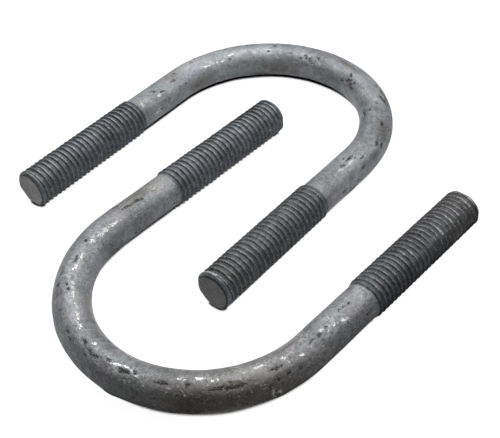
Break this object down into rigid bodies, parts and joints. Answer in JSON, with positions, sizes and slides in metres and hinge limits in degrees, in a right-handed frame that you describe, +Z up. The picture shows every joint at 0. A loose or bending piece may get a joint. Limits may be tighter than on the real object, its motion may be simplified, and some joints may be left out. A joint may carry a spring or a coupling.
{
  "type": "pipe u-bolt pair",
  "caption": "Nested pair of galvanised round-bar U-bolts with threaded legs, for clamping 48.3 mm pipe to a plate or frame.",
  "frame": {"origin": "middle of the nested pair's footprint, on the surface it lies on", "axes": "+X along the length of the pair, towards the rear bolt's bend; +Y from the front bolt to the rear bolt; +Z up, square to the flat of both U shapes"},
  "size_m": [0.1268, 0.1026, 0.01],
  "materials": {
    "front_zinc": "hot-dip galvanised: dull mottled zinc grey on the bar, darker on the threads",
    "rear_zinc": "hot-dip galvanised: dull mottled zinc grey on the bar, darker on the threads"
  },
  "bodies": {
    "rear_bolt": {"rear_u_bolt": "rear_zinc"},
    "front_bolt": {"front_u_bolt": "front_zinc"}
  },
  "joints": [
    {"name": "front_bolt_slide", "type": "slide", "parent": "rear_bolt", "child": "front_bolt", "axis": [0.9997, -0.0244, 0], "range_m": [-0.07, 0.0218]}
  ]
}
